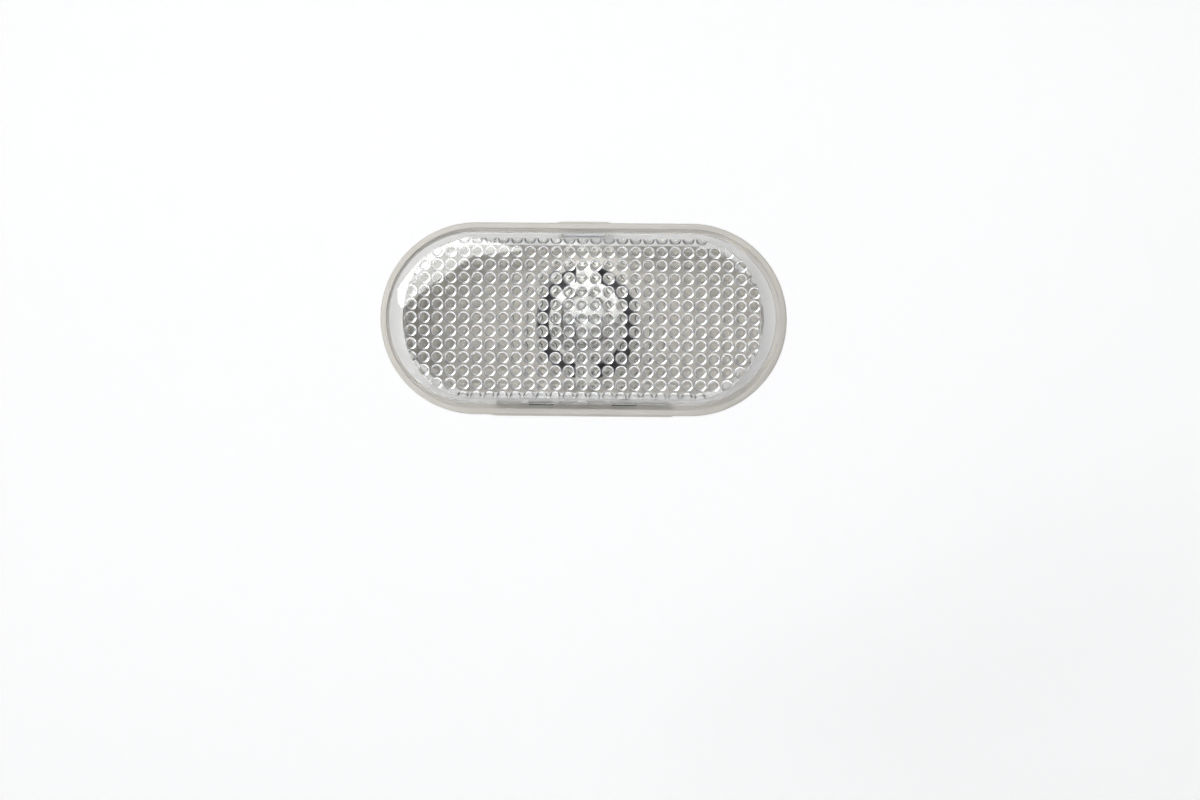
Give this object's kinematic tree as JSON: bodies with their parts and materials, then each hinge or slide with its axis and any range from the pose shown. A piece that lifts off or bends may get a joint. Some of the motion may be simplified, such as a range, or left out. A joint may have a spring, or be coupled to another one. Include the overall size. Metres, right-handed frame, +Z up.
{
  "type": "side repeater lamp",
  "caption": "Oval side repeater lamp for a car wing: clear pillow-optic lens on a pale housing, with spring clip, gasket and twist-in wedge bulb holder.",
  "frame": {"origin": "centre of the oval outline, in the plane where the gasket meets the panel", "axes": "+Y into the car along the panel's normal, so the lens faces -Y; +X along the lamp; +Z up on the car"},
  "size_m": [0.0772, 0.048, 0.037],
  "materials": {
    "clear_lens": "clear moulded acrylic, polished outside, bumps moulded inside",
    "pale_housing": "warm light grey moulded plastic, satin",
    "foam": "closed-cell foam, dark grey",
    "spring_steel": "zinc-plated spring steel strip",
    "white_nylon": "natural white nylon",
    "black_rubber": "black rubber",
    "tinned_brass": "dull tinned brass",
    "bulb_glass": "clear blown glass",
    "tungsten": "bare tungsten wire",
    "lead_wire": "bare nickel-plated wire"
  },
  "bodies": {
    "lamp_body": {"lens": "clear_lens", "housing": "pale_housing", "panel_gasket": "foam", "spring_clip": "spring_steel"},
    "twist_holder": {"bulb_holder": "white_nylon", "holder_seal": "black_rubber", "terminal_left": "tinned_brass", "terminal_right": "tinned_brass", "bulb_glass": "bulb_glass", "filament": "tungsten", "lead_wire_left": "lead_wire", "lead_wire_right": "lead_wire"}
  },
  "joints": [
    {"name": "holder_twist", "type": "hinge", "parent": "lamp_body", "child": "twist_holder", "pos_m": [0, 0.018, 0], "axis": [0, -1, 0], "range_deg": [0, 45]}
  ]
}
